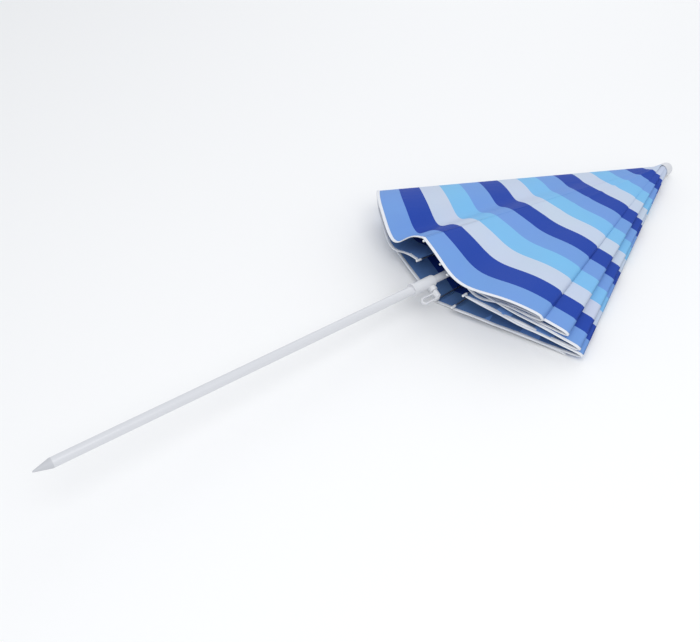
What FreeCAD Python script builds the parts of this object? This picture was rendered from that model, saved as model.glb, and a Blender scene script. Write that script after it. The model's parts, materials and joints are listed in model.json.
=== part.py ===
import FreeCAD, Part
import os
from math import atan2, cos, pi, radians, sin, sqrt

# Beach umbrella, lying closed on the ground.
#
# Working axes, in millimetres: t runs down the pole from the crown towards the spike, y is sideways and
# b is across the pole, upwards. The finished model is then laid down: X points from the spike to the
# crown, Z is up and the ground is Z = 0.

V = FreeCAD.Vector

# Ribs and canopy
RIBS = 8
RIB_LENGTH = 900.0  # hinge pin to tip
RIB_R = 1.8
TIP_PAST = 2.5  # how far the tip cap runs on past the rib's end
FITTING_R = 3.0  # clips and tip caps on the ribs
EYE_HALF = 1.6
FIRST_RIB = 45.0  # azimuth of rib 1 from +y towards +b
RIB_OPEN = 65.0  # angle between pole and rib, opened
# the same, folded: the upper ribs have sunk on to the pole
RIB_CLOSED = {1: 5.4, 2: 1.9, 3: 1.7, 4: 4.7, 5: 4.4, 6: 3.9, 7: 4.4, 8: 4.4}
HINGE_T = 7.0
HINGE_R = 11.6
CLOTH = 0.8
CLOTH_INNER = 3.8  # height of a panel's edge over its rib's axis
CLOTH_OUTER = 5.6  # the same for the upper of two panels that lie the same way
CLOTH_TOP = 14.0  # the same for the topmost panel, which crosses rib 2
CLOTH_LENGTH = 898.0  # from the rib's hinge to the hem's corner
CLOTH_START = 125.0
SEAM_GAP = 1.6
LAYER_GAP = 0.2  # least space between two panels that lie one over the other
# height of each gore's fold at the hem, from the pole's axis, and the side that it lies on
FOLD_HEIGHT = {1: 12.0, 2: -19.0, 3: -45.0, 4: -60.0, 5: -74.0, 6: -74.0, 7: -34.0, 8: 4.0}
FOLD_SIDE = {1: -1, 2: -1, 3: -1, 4: -1, 5: -1, 6: 1, 7: 1, 8: 1}

# Struts and runner
STRUT = 400.0  # pin to pin, and hinge to clip along the rib
STRUT_R = 1.8
STRUT_OFFSET = -5.2  # struts lie beside their ribs
PIVOT_R = 15.5
PIN_R = 1.2
EYE_R = 3.2
RUNNER_BELOW = 50.0
RUNNER_ABOVE = 8.0

# Pole
UPPER_R, UPPER_BORE = 9.5, 8.5
LOWER_R, LOWER_BORE = 11.0, 9.8
SEAT_R = 10.5  # the lower tube's end, inside the collar
UPPER_TOP, UPPER_END = 14.0, 1180.0
COLLAR_T, COLLAR_END, COLLAR_R = 928.0, 993.0, 14.5
TUBE_TOP, TUBE_END, SPIKE_END = 950.0, 1892.0, 1930.0
BUSH_R, BUSH_BORE = 12.4, 9.6
COLLAR_BORE = BUSH_R + 0.05
CATCH_T, CATCH_R = 407.3, 3.4

# Clamp screw
CLAMP_T = 939.0
CLAMP_DOWN = 25.0  # degrees below the horizontal
STEM_R = 4.0
NUT_FLATS = 13.0
BOSS_END = 24.5

# How the umbrella lies
CAP_R = 19.0
LEAN = 3.965  # degrees that the pole rises towards the spike
LIFT = 19.902
SHIFT_X, SHIFT_Y = 948.388, -1.828


def at(t, y, b):
    return V(-t, y, b)


def radial(azimuth, r, t, side=0.0):
    """The point at radius r over an azimuth, moved sideways along the tangent."""
    a = radians(azimuth)
    return at(t, r * cos(a) - side * sin(a), r * sin(a) + side * cos(a))


def outward(azimuth):
    return radial(azimuth, 1.0, 0.0)


def tangent(azimuth):
    return radial(azimuth, 0.0, 0.0, 1.0)


def azimuth_of(k):
    return FIRST_RIB + 360.0 / RIBS * ((k - 1) % RIBS)


def rod(start, end, r):
    way = end - start
    return Part.makeCylinder(r, way.Length, start, way)


def ring(r, bore, t0, t1):
    outer = rod(at(t0, 0, 0), at(t1, 0, 0), r)
    return outer.cut(rod(at(t0 - 1, 0, 0), at(t1 + 1, 0, 0), bore)) if bore else outer


def turned(profile):
    """Turns a closed (t, r) outline about the pole's axis."""
    face = Part.Face(Part.makePolygon([at(t, 0, r) for t, r in profile + profile[:1]]))
    return face.revolve(V(0, 0, 0), V(1, 0, 0), 360)


def block(azimuth, low, high):
    """A box in (t, side, radius), turned to an azimuth."""
    size = [high[i] - low[i] for i in range(3)]
    box = Part.makeBox(size[0], size[1], size[2], V(-high[0], -high[1], low[2]))
    box.rotate(V(0, 0, 0), V(1, 0, 0), azimuth - 90.0)
    return box


def runner_station(theta):
    """The runner pins' station on the pole, for a rib angle."""
    reach = HINGE_R + STRUT * sin(theta) - PIVOT_R
    return HINGE_T + STRUT * cos(theta) + sqrt(STRUT**2 - reach**2)


OPENED = radians(RIB_OPEN)
RUNNER_T = runner_station(radians(RIB_CLOSED[5]))
HALF_GORE = atan2(sin(OPENED) * sin(pi / RIBS), sqrt(1 - (sin(OPENED) * sin(pi / RIBS)) ** 2))


def rib_axis(k, distance, e=0.0):
    """A point along rib k, at height e over its axis."""
    theta = radians(RIB_CLOSED[k])
    t = HINGE_T + distance * cos(theta) - e * sin(theta)
    return radial(azimuth_of(k), HINGE_R + distance * sin(theta) + e * cos(theta), t)


class Panel:
    """Half a gore: a flat sheet hinged along its rib, from the rib to the gore's fold."""

    def __init__(self, gore, half):
        self.gore, self.half = gore, half
        self.rib = gore if half == "a" else gore % RIBS + 1
        turn = 1 if half == "a" else -1
        side, other = FOLD_SIDE[gore], FOLD_SIDE[(gore - turn - 1) % RIBS + 1]
        self.side = side
        e = CLOTH_OUTER if side == other and side * turn > 0 else CLOTH_INNER
        e = {(1, "a"): CLOTH_TOP, (1, "b"): CLOTH_INNER}.get((gore, half), e)
        back = (HINGE_R + e * cos(OPENED)) / sin(OPENED)
        self.way = (rib_axis(self.rib, 100) - rib_axis(self.rib, 0)).normalize()
        self.apex = rib_axis(self.rib, -back, e)
        self.reach = CLOTH_LENGTH + back

    def angle_to(self, point):
        return (point - self.apex).getAngle(self.way)

    def hem(self, angle):
        """Distance from the apex to the hem, at an angle from the rib."""
        return self.reach * cos(HALF_GORE) / cos(angle - HALF_GORE)

    def aim(self, nose):
        self.nose, self.angle = nose, self.angle_to(nose)
        self.up = (nose - self.apex).cross(self.way).normalize() * self.side


def fold_point(gore, a, b):
    """The fold's end at the hem, where both half gores are stretched flat."""
    low, high = 50.0, 600.0
    for _ in range(50):
        y = (low + high) / 2
        t = 800.0
        for _ in range(30):
            p = at(t, FOLD_SIDE[gore] * y, FOLD_HEIGHT[gore])
            t += (a.hem(a.angle_to(p)) + b.hem(b.angle_to(p))) / 2
            t -= ((p - a.apex).Length + (p - b.apex).Length) / 2
        if a.angle_to(p) + b.angle_to(p) < 2 * HALF_GORE:
            low = y
        else:
            high = y
    return p


def all_panels():
    made = {}
    for gore in range(1, RIBS + 1):
        a, b = Panel(gore, "a"), Panel(gore, "b")
        nose = fold_point(gore, a, b)
        for p in (a, b):
            p.aim(nose)
            made[gore, p.half] = p
    return made


def panel_plate(p):
    """A flat plate from the rib to the fold."""
    to_nose = (p.nose - p.apex).normalize()
    in_rib = (to_nose - p.way * to_nose.dot(p.way)).normalize() * SEAM_GAP
    in_fold = (p.way - to_nose * to_nose.dot(p.way)).normalize() * SEAM_GAP
    ends = [
        p.apex + p.way * CLOTH_START + in_rib,
        p.apex + to_nose * CLOTH_START + in_fold,
        p.apex + to_nose * p.hem(p.angle) + in_fold,
        p.apex + p.way * p.reach + in_rib,
    ]
    wire = Part.makePolygon([q - p.up * (CLOTH / 2) for q in ends + ends[:1]])
    return Part.Face(wire).extrude(p.up * CLOTH)


def space_over(p):
    """The half-space over a panel, down to where the next panel may reach."""
    box = Part.makeBox(3000, 3000, 1000, V(-1500, -1500, -CLOTH / 2 - LAYER_GAP))
    box.Placement = FreeCAD.Placement(p.apex, FreeCAD.Rotation(V(0, 0, 1), p.up))
    return box


def canopy():
    """All the panels, cut back where a panel that lies on them comes too near."""
    panels = all_panels()
    near = [(gore, half) for gore in range(1, 6) for half in "ab"]
    far = [(gore, half) for gore in range(8, 5, -1) for half in "ba"]
    made = {}
    for stack in (near, far):
        for above, key in zip([None] + stack[:-1], stack):
            plate = panel_plate(panels[key])
            made[key] = plate.cut(space_over(panels[above])).Solids[0] if above else plate
    return made


def eye(azimuth, centre, r, half, bore):
    """A disc across the tangent, with a pin hole."""
    way = tangent(azimuth)
    disc = Part.makeCylinder(r, 2 * half, centre - way * half, way)
    return disc.cut(Part.makeCylinder(bore, 2 * half + 2, centre - way * (half + 1), way))


def rib(k):
    hinge = rib_axis(k, 0)
    bar = rod(rib_axis(k, EYE_R * 0.7), rib_axis(k, RIB_LENGTH), RIB_R)
    return eye(azimuth_of(k), hinge, EYE_R, EYE_HALF, PIN_R + 0.05).fuse(bar).removeSplitter()


def rib_fittings(k):
    """The strut's clip and the tip cap, both pushed on the rib."""
    clip = rod(rib_axis(k, STRUT - 9), rib_axis(k, STRUT + 9), FITTING_R)
    end = rib_axis(k, RIB_LENGTH + TIP_PAST)
    tip = rod(rib_axis(k, RIB_LENGTH - 12), end, FITTING_R)
    tip = tip.makeFillet(1.2, [e for e in tip.Edges if e.CenterOfMass.distanceToPoint(end) < 0.01])
    bore = rod(rib_axis(k, STRUT - 20), rib_axis(k, RIB_LENGTH), RIB_R)
    return Part.makeCompound([clip.cut(bore), tip.cut(bore)])


def strut(k):
    azimuth, side = azimuth_of(k), tangent(azimuth_of(k))
    low = radial(azimuth, PIVOT_R, RUNNER_T, STRUT_OFFSET)
    way = (rib_axis(k, STRUT) + side * STRUT_OFFSET - low).normalize()
    high = low + way * STRUT
    body = eye(azimuth, low, EYE_R, EYE_HALF, PIN_R + 0.05)
    body = body.fuse(rod(low + way * EYE_R * 0.7, high, STRUT_R))
    body = body.fuse(Part.makeCylinder(EYE_R, 2 * EYE_HALF, high - side * EYE_HALF, side))
    rivet = Part.makeCylinder(2.2, 1.4, high - side * EYE_HALF, side * -1)
    return body.fuse(rivet).removeSplitter()


def pins(r, t, half, offset):
    made = []
    for k in range(1, RIBS + 1):
        middle, way = radial(azimuth_of(k), r, t, offset), tangent(azimuth_of(k))
        made.append(Part.makeCylinder(PIN_R, 2 * half, middle - way * half, way))
    return made


def slotted(body, r, t, offset, t0, t1, inner, pin_set):
    """Cuts a slot for each rib or strut eye, and the holes of their pins."""
    for k in range(1, RIBS + 1):
        low = (t0, offset - RIB_R - 0.2, inner)
        high = (t1, offset + RIB_R + 0.2, r + 12)
        body = body.cut(block(azimuth_of(k), low, high))
    return body.cut(Part.makeCompound(pin_set))


def crown_hub(pin_set):
    body = turned([(-16, 0), (-16, 4), (0, 4), (0, 15.5), (14, 15.5), (14, 8.4), (48, 8.4), (50, 7.4),
                   (50, 0)])
    return slotted(body, HINGE_R, HINGE_T, 0, 2.5, 15, HINGE_R - EYE_R - 0.3, pin_set)


def top_cap():
    """A domed cap: its nearly flat middle is two steps, and its shoulder is an ellipse."""
    outline = [(-28.5, 0)]
    for i in range(1, 10):
        a = radians(10.0 * i)
        r = 12.0 * sin(3 * a) if i < 3 else CAP_R * (0.62 + 0.38 * sin(a))
        outline.append((-12.5 - 16.0 * cos(a), r))
    outline += [(3.5, CAP_R), (3.5, 16.8), (-4.0, 16.8), (-4.0, 4.05), (-17.0, 4.05), (-17.0, 0)]
    return turned(outline)


def runner(pin_set):
    t0, t1 = RUNNER_T - RUNNER_ABOVE, RUNNER_T + RUNNER_BELOW
    body = turned([(t0, 9.8), (t0, 20.5), (t0 + 15, 20.5), (t0 + 17, 12.6), (t1 - 8, 12.6), (t1 - 8, 14.6),
                   (t1, 14.6), (t1, 9.8)])
    return slotted(body, PIVOT_R, RUNNER_T, STRUT_OFFSET, t0 - 1, t0 + 12.5, PIVOT_R - EYE_R - 0.1, pin_set)


def clamp_way():
    a = radians(CLAMP_DOWN)
    return V(0, -cos(a), -sin(a))


def clamp_rod(r, v0, v1):
    way = clamp_way()
    return Part.makeCylinder(r, v1 - v0, at(CLAMP_T, 0, 0) + way * v0, way)


def hexagon(flats, v0, v1):
    way, up = clamp_way(), V(1, 0, 0)
    side = way.cross(up)
    r = flats / sqrt(3)
    corners = [at(CLAMP_T, 0, 0) + way * v0 + up * (r * cos(pi / 3 * i)) + side * (r * sin(pi / 3 * i))
               for i in range(7)]
    return Part.Face(Part.makePolygon(corners)).extrude(way * (v1 - v0))


def clamp_collar():
    body = turned([(COLLAR_T, COLLAR_BORE), (COLLAR_T, COLLAR_R), (COLLAR_END - 6, COLLAR_R),
                   (COLLAR_END - 5, 16.5), (COLLAR_END, 16.5), (COLLAR_END, SEAT_R),
                   (TUBE_TOP, SEAT_R), (TUBE_TOP, COLLAR_BORE)])
    body = body.fuse(clamp_rod(10.0, 13.0, BOSS_END).cut(ring(13.0, 0, COLLAR_T - 10, COLLAR_END)))
    body = body.cut(ring(COLLAR_BORE, 0, COLLAR_T - 20, TUBE_TOP))
    return body.cut(clamp_rod(STEM_R + 0.1, 5.0, 40.0)).cut(hexagon(NUT_FLATS + 0.1, 18.4, 40.0))


def loop_outline(u0, u1, v0, v1, r):
    """A rounded outline in the plane of the pole and the clamp screw."""
    way = clamp_way()

    def spot(u, v):
        return at(CLAMP_T + u, 0, 0) + way * v

    s, c = r * (1 - sqrt(0.5)), r
    corners = [
        (spot(u0 + c, v0), spot(u1 - c, v0), spot(u1 - s, v0 + s), spot(u1, v0 + c)),
        (spot(u1, v0 + c), spot(u1, v1 - c), spot(u1 - s, v1 - s), spot(u1 - c, v1)),
        (spot(u1 - c, v1), spot(u0 + c, v1), spot(u0 + s, v1 - s), spot(u0, v1 - c)),
        (spot(u0, v1 - c), spot(u0, v0 + c), spot(u0 + s, v0 + s), spot(u0 + c, v0)),
    ]
    edges = []
    for start, turn, middle, end in corners:
        if start.distanceToPoint(turn) > 1e-3:
            edges.append(Part.makeLine(start, turn))
        edges.append(Part.Arc(turn, middle, end).toShape())
    return Part.Wire(edges)


def clamp_handle():
    normal = clamp_way().cross(V(1, 0, 0))
    outer = Part.Face(loop_outline(-7.0, 50.0, 28.0, 47.0, 9.4)).extrude(normal * 7.0)
    hole = Part.Face(loop_outline(8.0, 45.0, 32.5, 42.5, 4.9)).extrude(normal * 9.0)
    outer.translate(normal * -3.5)
    hole.translate(normal * -4.5)
    loop = outer.cut(hole).Solids[0]
    middle = loop.CenterOfMass
    rims = [e for e in loop.Edges if abs((e.CenterOfMass - middle).dot(normal)) > 3]
    loop = loop.makeFillet(2.0, rims)
    body = loop.fuse(clamp_rod(7.5, 25.0, 42.0)).removeSplitter()
    return body.cut(clamp_rod(STEM_R, 20.0, 38.0))


def catch_button():
    up = V(0, 0, 1)
    stem = Part.makeCylinder(CATCH_R, 4.6, at(CATCH_T, 0, 7.2), up)
    dome = Part.makeSphere(4.6, at(CATCH_T, 0, 8.0))
    dome = dome.common(Part.makeCylinder(CATCH_R, 9, at(CATCH_T, 0, 7.5), up))
    flange = Part.makeCylinder(CATCH_R + 0.7, 1.0, at(CATCH_T, 0, 6.3), up)
    return stem.fuse(dome).fuse(flange).removeSplitter()


def catch_spring():
    """A leaf bent to a V, one leg under the button and the other on the far wall."""
    w = 3.0
    outline = [(-4, 6.3), (5, 6.3), (38, -1.2), (5, -7.7), (-4, -7.7), (-4, -7.1), (4.8, -7.1), (35, -1.2),
               (4.8, 5.7), (-4, 5.7)]
    wire = Part.makePolygon([at(CATCH_T + t, -w, b) for t, b in outline + outline[:1]])
    return Part.Face(wire).extrude(V(0, 2 * w, 0))


def upper_tube():
    tube = ring(UPPER_R, UPPER_BORE, UPPER_TOP, UPPER_END)
    return tube.cut(Part.makeCylinder(CATCH_R + 0.2, 10, at(CATCH_T, 0, 4), V(0, 0, 1)))


def build():
    """Every node of the model, by name, in the working axes."""
    hub_pins = pins(HINGE_R, HINGE_T, 3.6, 0)
    runner_pins = pins(PIVOT_R, RUNNER_T, 3.9, STRUT_OFFSET)
    nodes = {
        "lower_tube": turned([(TUBE_TOP, LOWER_BORE), (TUBE_TOP, SEAT_R), (COLLAR_END, SEAT_R),
                              (COLLAR_END, LOWER_R), (TUBE_END, LOWER_R), (TUBE_END, LOWER_BORE)]),
        "spike_tip": turned([(TUBE_END - 30, 0), (TUBE_END - 30, LOWER_BORE), (TUBE_END, LOWER_BORE),
                             (TUBE_END, LOWER_R), (TUBE_END + 2, LOWER_R), (SPIKE_END - 1, 1.6),
                             (SPIKE_END, 0)]),
        "clamp_collar": clamp_collar(),
        "clamp_nut": hexagon(NUT_FLATS, 18.4, 24.0).cut(clamp_rod(STEM_R + 0.05, 10.0, 30.0)),
        "clamp_pad": clamp_rod(3.7, BUSH_R + 0.35, 14.6),
        "clamp_stem": clamp_rod(STEM_R, 14.6, 38.0),
        "clamp_handle": clamp_handle(),
        "collar_bush": turned([(COLLAR_T - 3.3, BUSH_BORE), (COLLAR_T - 3.3, 13.6), (COLLAR_T - 0.3, 13.6),
                               (COLLAR_T - 0.3, BUSH_R), (TUBE_TOP - 0.5, BUSH_R),
                               (TUBE_TOP - 0.5, BUSH_BORE)]),
        "upper_tube": upper_tube(),
        "crown_hub": crown_hub(hub_pins),
        "crown_pins": Part.makeCompound(hub_pins),
        "top_cap": top_cap(),
        "crown_disc": ring(16.4, 4.2, -3.7, -0.3),
        "catch_button": catch_button(),
        "catch_spring": catch_spring(),
        "runner": runner(runner_pins),
        "runner_pins": Part.makeCompound(runner_pins),
    }
    for k in range(1, RIBS + 1):
        nodes[f"rib_{k}"] = rib(k)
        nodes[f"rib_fittings_{k}"] = rib_fittings(k)
        nodes[f"strut_{k}"] = strut(k)
    for (gore, half), shape in canopy().items():
        nodes[f"canopy_{gore}{half}"] = shape
    return nodes


def placement():
    """Lays the model down: the pole leans, its crown cap and lowest folds touch Z = 0."""
    turn = FreeCAD.Rotation(V(0, 1, 0), LEAN)
    return FreeCAD.Placement(V(SHIFT_X, SHIFT_Y, LIFT), turn)


if __name__ == "__main__":
    os.makedirs("parts", exist_ok=True)
    for name, shape in build().items():
        placed = shape.copy()
        placed.Placement = placement().multiply(placed.Placement)
        placed.exportStep(f"parts/{name}.step")
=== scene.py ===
import json
import bpy
import numpy as np
from math import pi, radians
from mathutils import Matrix, Vector


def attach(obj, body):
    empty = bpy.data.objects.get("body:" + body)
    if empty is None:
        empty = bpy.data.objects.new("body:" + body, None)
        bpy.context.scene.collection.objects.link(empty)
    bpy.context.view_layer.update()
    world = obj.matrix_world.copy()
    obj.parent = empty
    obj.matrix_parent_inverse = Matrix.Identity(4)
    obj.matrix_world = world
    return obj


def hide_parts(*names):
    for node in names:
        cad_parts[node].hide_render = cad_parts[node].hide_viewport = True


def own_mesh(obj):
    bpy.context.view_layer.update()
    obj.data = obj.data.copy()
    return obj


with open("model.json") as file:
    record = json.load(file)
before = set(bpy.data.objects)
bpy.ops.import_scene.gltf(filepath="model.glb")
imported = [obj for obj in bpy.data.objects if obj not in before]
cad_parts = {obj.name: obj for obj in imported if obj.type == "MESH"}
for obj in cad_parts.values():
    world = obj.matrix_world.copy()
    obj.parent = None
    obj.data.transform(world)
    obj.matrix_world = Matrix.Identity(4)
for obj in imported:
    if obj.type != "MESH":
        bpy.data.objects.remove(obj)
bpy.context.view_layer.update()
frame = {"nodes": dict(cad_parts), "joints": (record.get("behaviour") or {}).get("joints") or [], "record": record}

# Striped bands from the hem to the crown, as linear colours
MID, DARK = (0.168, 0.340, 0.730), (0.010, 0.055, 0.385)
WHITE, LIGHT = (0.560, 0.640, 0.790), (0.205, 0.510, 0.830)
BANDS = [MID, DARK, WHITE, LIGHT] * 3 + [MID, DARK, WHITE]
HIP = 0.0163  # radius of the cloth's mouth under the cap
CROWN_TO_BUSH = 0.940  # from the crown to the origin of the joint in which the upper pole turns
RIB_LENGTH = 0.899  # from the rib's hinge to the hem's corner
MIDDLE_LENGTH = 0.86  # of a half gore, from the crown to the hem
SEAM_RISE = 0.005  # the seam's height over its rib's axis
SEAM_RISE_AT = {1: 0.0068}  # the same for a rib where it differs
ROWS, COLUMNS = 90, 36
THICKNESS = 0.0006
TAPE_WIDTH, TAPE_BULGE = 0.0092, 0.0015
TAPE_SHIFT = 0.0033  # from the hem to the middle of its tape
UV_WIDTH = 0.32  # a half gore's width at the hem
UV_END = 0.9999  # just inside the last stripe
FOLD_LIFT = (0, 0, 0.002)  # where a fold's end lies over the meeting of its flat plates
LOOP_PEAK = 0.340  # the loop's formula divided by this is about 1 at its highest
SAG_SPREAD = 0.20  # how wide the sag is, as a share of the half gore
RIPPLE = 0.0011
TUCK_DEPTH = 0.12

# Shape of each half gore. loop rounds the cloth out next to its fold, sag lets it hang at the hem round
# a place between the rib (0) and the fold (1), and reach lengthens its middle towards the spike.
PLAIN = dict(loop=0.008, sag=0.0, place=0.5, reach=0.0)
SHAPE = {
    "1a": dict(loop=0.017, sag=0.026, place=0.42, reach=0.044),
    "1b": dict(loop=0.006, sag=0.026, place=0.40, reach=0.010),
    "2a": dict(loop=0.008, sag=0.024, place=0.32, reach=0.008),
    "2b": dict(loop=0.005),
    "3a": dict(loop=0.007, reach=0.008),
    "3b": dict(loop=0.005),
    "4a": dict(loop=0.006, reach=0.006),
    "4b": dict(loop=0.005),
    "5a": dict(loop=0.006),
    "5b": dict(loop=-0.003),
    "6a": dict(loop=-0.003),
    "6b": dict(),
    "7a": dict(sag=0.008, place=0.40, reach=0.012),
    "7b": dict(sag=0.032, place=0.36, reach=0.016),
    "8a": dict(sag=0.035, place=0.34, reach=0.028),
    "8b": dict(loop=0.012, sag=0.058, place=0.34, reach=0.040),
}
# The same where a fold's end is drawn away from there
FOLD_SHIFT = {1: (-0.018, -0.004, -0.004), 2: (0.004, -0.012, 0.003), 3: (0.003, -0.006, 0.003),
              7: (-0.012, 0.005, 0.002), 8: (-0.018, 0.012, 0.0)}
TUCK = {"1a": -0.024}  # this half starts a little beyond its rib, under its neighbour
OVER_RIB = {"1a": 2}  # this half lies over another rib
BESIDE = {"2a": "1b"}  # this half doesn't turn on its rib, and its neighbour has the same hinge line

joints = {j["name"]: j for j in frame["joints"]}
crownward = np.array(joints["pole_extension"]["axis"], float)
on_pole = np.array(joints["pole_swivel"]["pos_m"], float) + crownward * CROWN_TO_BUSH


def unit(v):
    return v / np.linalg.norm(v)


def across_pole(p):
    v = p - on_pole
    return v - crownward * (v @ crownward)


def new_mesh(name, points, faces, materials):
    mesh = bpy.data.meshes.new(name)
    mesh.from_pydata([tuple(p) for p in points], [], faces)
    obj = bpy.data.objects.new(name, mesh)
    bpy.context.scene.collection.objects.link(obj)
    for material in materials:
        mesh.materials.append(material)
    for polygon in mesh.polygons:
        polygon.use_smooth = True
    return obj


# ---------------------------------------------------------------- materials

def material(name, colour, rough, metal=0.0, coat=0.0, bump=0.0, scale=400.0):
    m = bpy.data.materials.new(name)
    m.use_nodes = True
    tree = m.node_tree
    shader = tree.nodes["Principled BSDF"]
    shader.inputs["Base Color"].default_value = (*colour, 1)
    shader.inputs["Roughness"].default_value = rough
    shader.inputs["Metallic"].default_value = metal
    shader.inputs["Coat Weight"].default_value = coat
    if bump:
        coordinates = tree.nodes.new("ShaderNodeTexCoord")
        noise = tree.nodes.new("ShaderNodeTexNoise")
        noise.inputs["Scale"].default_value = scale
        raised = tree.nodes.new("ShaderNodeBump")
        raised.inputs["Strength"].default_value = bump
        raised.inputs["Distance"].default_value = 0.0005
        tree.links.new(coordinates.outputs["Object"], noise.inputs["Vector"])
        tree.links.new(noise.outputs["Fac"], raised.inputs["Height"])
        tree.links.new(raised.outputs["Normal"], shader.inputs["Normal"])
    return m


def cloth_material(name, shade):
    """Woven stripes: UV x runs across the gore and UV y from the crown to the hem, in metres."""
    m = material(name, WHITE, 0.62)
    tree = m.node_tree
    new, link = tree.nodes.new, tree.links.new
    shader = tree.nodes["Principled BSDF"]
    shader.inputs["Specular IOR Level"].default_value = 0.25
    uv = new("ShaderNodeUVMap")
    uv.uv_map = "UVMap"
    parts = new("ShaderNodeSeparateXYZ")
    link(uv.outputs["UV"], parts.inputs["Vector"])
    along = new("ShaderNodeMath")
    along.operation = "SUBTRACT"
    along.inputs[0].default_value = 1.0
    link(parts.outputs["Y"], along.inputs[1])
    ramp = new("ShaderNodeValToRGB")
    ramp.color_ramp.interpolation = "CONSTANT"
    for i, band in enumerate(BANDS):
        start = i / len(BANDS)
        stop = ramp.color_ramp.elements[0] if i == 0 else ramp.color_ramp.elements.new(start)
        stop.position = start
        # a factor below 1 darkens every stripe: painted shade, used for the canopy's inside
        stop.color = (*[c * shade for c in band], 1)
    ramp.color_ramp.elements.remove(ramp.color_ramp.elements[-1])  # the one that a new ramp ends with
    link(along.outputs[0], ramp.inputs["Fac"])
    tone = new("ShaderNodeTexNoise")
    tone.inputs["Scale"].default_value = 9.0
    tone.inputs["Detail"].default_value = 6.0
    link(uv.outputs["UV"], tone.inputs["Vector"])
    tint = new("ShaderNodeMix")
    tint.data_type = "RGBA"
    tint.blend_type = "MULTIPLY"
    tint.inputs["Factor"].default_value = 0.10
    link(ramp.outputs["Color"], tint.inputs[6])
    link(tone.outputs["Color"], tint.inputs[7])
    link(tint.outputs[2], shader.inputs["Base Color"])
    heights = []
    for axis, turn in (("X", 0.0), ("Y", pi / 2)):
        wave = new("ShaderNodeTexWave")
        wave.bands_direction = axis
        wave.inputs["Scale"].default_value = 260.0
        link(uv.outputs["UV"], wave.inputs["Vector"])
        heights.append(wave)
    weave = new("ShaderNodeMath")
    weave.operation = "MULTIPLY"
    link(heights[0].outputs["Fac"], weave.inputs[0])
    link(heights[1].outputs["Fac"], weave.inputs[1])
    stretch = new("ShaderNodeMapping")
    stretch.inputs["Scale"].default_value = (38.0, 5.0, 1.0)
    link(uv.outputs["UV"], stretch.inputs["Vector"])
    creases = new("ShaderNodeTexNoise")
    creases.inputs["Scale"].default_value = 1.0
    creases.inputs["Detail"].default_value = 3.0
    link(stretch.outputs["Vector"], creases.inputs["Vector"])
    fine = new("ShaderNodeBump")
    fine.inputs["Strength"].default_value = 0.12
    fine.inputs["Distance"].default_value = 0.0003
    link(weave.outputs[0], fine.inputs["Height"])
    coarse = new("ShaderNodeBump")
    coarse.inputs["Strength"].default_value = 0.30
    coarse.inputs["Distance"].default_value = 0.006
    link(creases.outputs["Fac"], coarse.inputs["Height"])
    link(fine.outputs["Normal"], coarse.inputs["Normal"])
    link(coarse.outputs["Normal"], shader.inputs["Normal"])
    return m


def binding_material():
    """White edge tape with a row of stitches: UV x runs along the tape in metres."""
    m = material("binding", (0.80, 0.82, 0.86), 0.7)
    tree = m.node_tree
    new, link = tree.nodes.new, tree.links.new
    uv = new("ShaderNodeUVMap")
    uv.uv_map = "UVMap"
    wave = new("ShaderNodeTexWave")
    wave.inputs["Scale"].default_value = 110.0
    link(uv.outputs["UV"], wave.inputs["Vector"])
    raised = new("ShaderNodeBump")
    raised.inputs["Strength"].default_value = 0.5
    raised.inputs["Distance"].default_value = 0.0008
    link(wave.outputs["Fac"], raised.inputs["Height"])
    link(raised.outputs["Normal"], tree.nodes["Principled BSDF"].inputs["Normal"])
    return m


cloth = cloth_material("canopy_cloth", 1.0)
# the inside face: the same stripes darkened to 0.62, painted shade for the canopy's underside
painted_shade_inside = cloth_material("canopy_inside_painted_shade", 0.62)
binding = binding_material()
FINISHES = {
    "pole_tube": material("pole_tube", (0.66, 0.67, 0.70), 0.32, coat=0.3, bump=0.05, scale=900.0),
    "white_plastic": material("white_plastic", (0.68, 0.69, 0.72), 0.38, bump=0.05),
    "tip_plastic": material("tip_plastic", (0.55, 0.56, 0.59), 0.42, bump=0.08),
    "fitting_plastic": material("fitting_plastic", (0.82, 0.83, 0.84), 0.5, bump=0.05),
    "rib_wire": material("rib_wire", (0.42, 0.44, 0.47), 0.36, metal=1.0, bump=0.1),
    "plated_steel": material("plated_steel", (0.62, 0.62, 0.63), 0.3, metal=1.0, bump=0.06),
    "canopy_cloth": cloth,
}
for part in frame["record"]["subparts"]:
    node = frame["nodes"][part["node"]]
    node.data.materials.clear()
    node.data.materials.append(FINISHES[part["material_slot"]])


# ---------------------------------------------------------------- canopy

class Half:
    """Half a gore as its CAD plate has it: hinge line along the rib, plane and fold."""

    def __init__(self, gore, side):
        self.gore, self.side = gore, side
        self.rib = gore if side == "a" else gore % 8 + 1
        self.name = f"{gore}{side}"
        self.upper = (side == "a") == (gore <= 5)  # the half of its fold that lies on top
        self.body = f"panel_{self.name}" if f"panel_{self.name}_hinge" in joints else f"rib_{self.rib}"
        self.joint = f"{self.body}_hinge"
        joint = joints[f"panel_{BESIDE.get(self.name, self.name)}_hinge"]
        self.way = np.array(joint["axis"], float)
        if self.way @ crownward > 0:
            self.way = -self.way
        self.on_hinge = np.array(joint["pos_m"], float)
        points = np.array([v.co for v in frame["nodes"][f"canopy_{self.name}"].data.vertices], float)
        rel = points - self.on_hinge
        out = rel - np.outer(rel @ self.way, self.way)
        far = np.argmax(np.linalg.norm(out, axis=1))
        self.fold_end = points[far] + unit(out[far]) * 0.002
        self.normal = unit(np.cross(self.way, out[far]))


halves = {f"{g}{s}": Half(g, s) for g in range(1, 9) for s in "ab"}
MOUTH = on_pole - crownward * 0.001  # centre of the cloth's mouth


def rib_line(k):
    """The seam over a rib: where it leaves the cap, and its end at the hem."""
    hinge = np.array(joints[f"rib_{k}_hinge"]["pos_m"], float)
    way = halves[f"{k}a"].way
    out = unit(across_pole(hinge))
    lift = unit(out - way * (out @ way)) * SEAM_RISE_AT.get(k, SEAM_RISE)
    return MOUTH + out * HIP, hinge + way * RIB_LENGTH + lift


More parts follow.
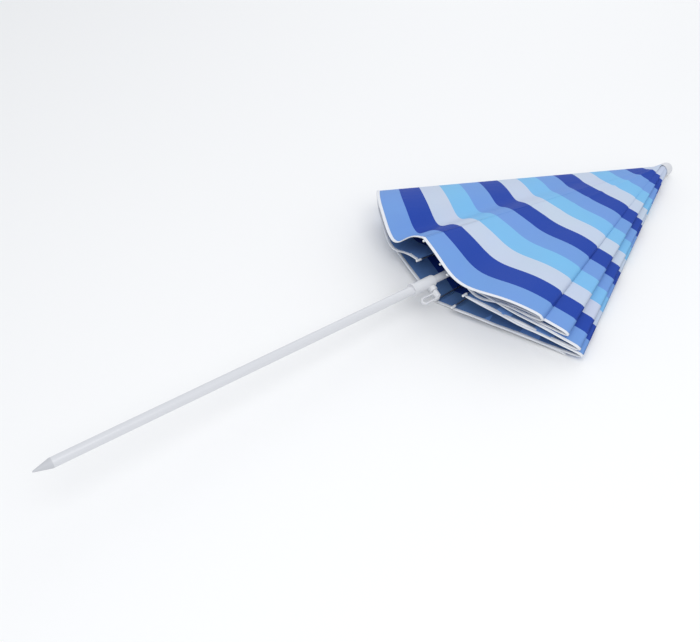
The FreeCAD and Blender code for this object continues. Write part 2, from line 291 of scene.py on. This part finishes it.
def fold_line(gore):
    a, b = (across_pole(rib_line(k)[0]) for k in (gore, gore % 8 + 1))
    start = MOUTH + unit(a + b) * HIP
    end = halves[f"{gore}a"].fold_end if gore <= 5 else halves[f"{gore}b"].fold_end
    return start, end + np.array(FOLD_SHIFT.get(gore, FOLD_LIFT))


def half_surface(h):
    """Points of a half gore, from the cap to the hem and from the rib to the fold."""
    shape = PLAIN | SHAPE[h.name]
    r0, r1 = rib_line(h.rib)
    f0, f1 = fold_line(h.gore)
    w = np.linspace(TUCK.get(h.name, 0), 1, COLUMNS)
    inside = np.clip(w, 0, 1)
    across = np.sin(pi * inside)[None, :]
    out = h.normal if (h.normal[2] > 0) == h.upper else -h.normal
    rows = np.linspace(0, 1, ROWS)[:, None] ** 1.15  # closer together near the crown
    s = rows * (1 + shape["reach"] / MIDDLE_LENGTH * across * rows**3)
    by_rib = r0 + s[..., None] * (r1 - r0)
    by_fold = f0 + s[..., None] * (f1 - f0)
    p = (1 - w)[None, :, None] * by_rib + w[None, :, None] * by_fold
    loop = inside**1.6 * (1 - inside) ** 0.45 / LOOP_PEAK
    lift = shape["loop"] * loop[None, :] * rows**0.8
    near = np.exp(-(((w - shape["place"]) / SAG_SPREAD) ** 2)) * np.sin(pi * inside) ** 0.5
    lift = lift - (1 if h.upper else -1) * shape["sag"] * near[None, :] * rows**3
    ripple = RIPPLE * np.sin(2 * pi * (2.6 * w + 0.13 * h.gore))[None, :] * across * rows**2
    tuck = np.minimum(w, 0)[None, :] * TUCK_DEPTH
    p = p + (lift + ripple + tuck)[..., None] * out
    if h.name in OVER_RIB:
        p = drape(p, OVER_RIB[h.name], rows)
    return p, w, rows


def drape(p, k, rows):
    """Lifts a surface where it would sink through the seam of another rib."""
    k0, k1 = rib_line(k)
    seam = k0 + rows[..., None] * (k1 - k0)
    side = p[..., 1] - seam[..., 1]
    clear, slope, blend = 0.0035, 0.42, 0.003
    crest = seam[..., 2] + clear - np.abs(side) * slope
    z = p[..., 2]
    p[..., 2] = 0.5 * (z + crest + np.sqrt((z - crest) ** 2 + blend**2))
    return p


def grid_faces(rows, columns):
    return [(i * columns + j, i * columns + j + 1, (i + 1) * columns + j + 1, (i + 1) * columns + j)
            for i in range(rows - 1) for j in range(columns - 1)]


def hem_tape(h, edge, inner):
    """The binding folded over the hem: a flat tube swept along the cloth's edge."""
    points, faces, uvs = [], [], []
    ring = 10
    back = inner - edge
    back /= np.linalg.norm(back, axis=1)[:, None]
    along = np.gradient(edge, axis=0)
    along /= np.linalg.norm(along, axis=1)[:, None]
    thick = np.cross(along, back)
    thick /= np.linalg.norm(thick, axis=1)[:, None]
    length = np.r_[0, np.cumsum(np.linalg.norm(np.diff(edge, axis=0), axis=1))]
    for i, p in enumerate(edge):
        for k in range(ring):
            a = 2 * pi * k / ring
            inwards = TAPE_SHIFT + TAPE_WIDTH / 2 * np.cos(a)
            points.append(p + back[i] * inwards + thick[i] * TAPE_BULGE * np.sin(a))
    for i in range(len(edge) - 1):
        for k in range(ring):
            n = (k + 1) % ring
            faces.append((i * ring + k, i * ring + n, (i + 1) * ring + n, (i + 1) * ring + k))
            uvs.append([(length[i], k / ring), (length[i], (k + 1) / ring), (length[i + 1], (k + 1) / ring),
                        (length[i + 1], k / ring)])
    faces.append(tuple(range(ring))[::-1])
    faces.append(tuple((len(edge) - 1) * ring + k for k in range(ring)))
    obj = new_mesh(f"hem_binding_{h.name}", points, faces, [binding])
    layer = obj.data.uv_layers.new(name="UVMap")
    flat = [uv for face in uvs for uv in face] + [(0, 0)] * (2 * ring)
    for corner, uv in zip(layer.data, flat):
        corner.uv = uv
    return obj


def follow(obj, h):
    """The piece goes with its plate."""
    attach(obj, h.body)
    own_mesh(obj)


for h in halves.values():
    p, w, rows = half_surface(h)
    points = p.reshape(-1, 3)
    faces = grid_faces(ROWS, COLUMNS)
    face_normal = np.cross(p[40, 20] - p[40, 10], p[50, 10] - p[40, 10])
    if (face_normal[2] > 0) != h.upper:  # the cloth's outside is up on an upper half and down on a lower
        faces = [f[::-1] for f in faces]
    obj = new_mesh(f"canopy_cloth_{h.name}", points, faces, [cloth, painted_shade_inside])
    layer = obj.data.uv_layers.new(name="UVMap")
    turn = 1 if h.side == "a" else -1
    for corner, edge in zip(layer.data, obj.data.loops):
        i, j = divmod(edge.vertex_index, COLUMNS)
        corner.uv = (turn * (w[j] - 1) * rows[i, 0] * UV_WIDTH + h.gore, rows[i, 0] * UV_END)
    shell = obj.modifiers.new("thickness", "SOLIDIFY")
    shell.thickness = THICKNESS
    shell.offset = -1
    # the shell's inner face takes the darkened copy: painted shade on the inside of the cloth
    shell.material_offset = 1
    tape = hem_tape(h, p[-1], p[-4])
    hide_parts(f"canopy_{h.name}")
    follow(obj, h)
    follow(tape, h)


# ---------------------------------------------------------------- ground, light and camera

def soft_light(name, place, aim, size, power):
    lamp = bpy.data.lights.new(name, "AREA")
    lamp.size, lamp.energy = size, power
    obj = bpy.data.objects.new(name, lamp)
    obj.location = place
    obj.rotation_euler = (Vector(aim) - Vector(place)).to_track_quat("-Z", "Y").to_euler()
    bpy.context.scene.collection.objects.link(obj)


ground = new_mesh("ground", [(-8, -8, 0), (8, -8, 0), (8, 8, 0), (-8, 8, 0)], [(0, 1, 2, 3)],
                  [material("ground", (0.93, 0.93, 0.93), 0.9)])
soft_light("key", (-0.8, -1.6, 3.0), (0.4, 0, 0), 2.6, 41)
soft_light("fill", (2.6, 1.8, 2.6), (0.3, 0, 0), 3.0, 22)
world = bpy.data.worlds.new("studio")
bpy.context.scene.world = world
world.use_nodes = True
world.node_tree.nodes["Background"].inputs["Color"].default_value = (0.95, 0.97, 1.0, 1)
world.node_tree.nodes["Background"].inputs["Strength"].default_value = 0.76
bpy.context.scene.view_settings.view_transform = "Standard"

CAMERA_AT = (-1.0947, -1.1047, 1.4431)
AZIMUTH, ELEVATION = radians(-38.10), radians(43.82)
SENSOR, FOCAL = 36.0, 43.7
lens = bpy.data.cameras.new("camera")
lens.sensor_width, lens.lens = SENSOR, FOCAL
camera = bpy.data.objects.new("camera", lens)
aim = Matrix.Rotation(AZIMUTH, 4, "Z") @ Matrix.Rotation(pi / 2 - ELEVATION, 4, "X")
camera.matrix_world = Matrix.Translation(CAMERA_AT) @ aim
bpy.context.scene.collection.objects.link(camera)
bpy.context.scene.camera = camera
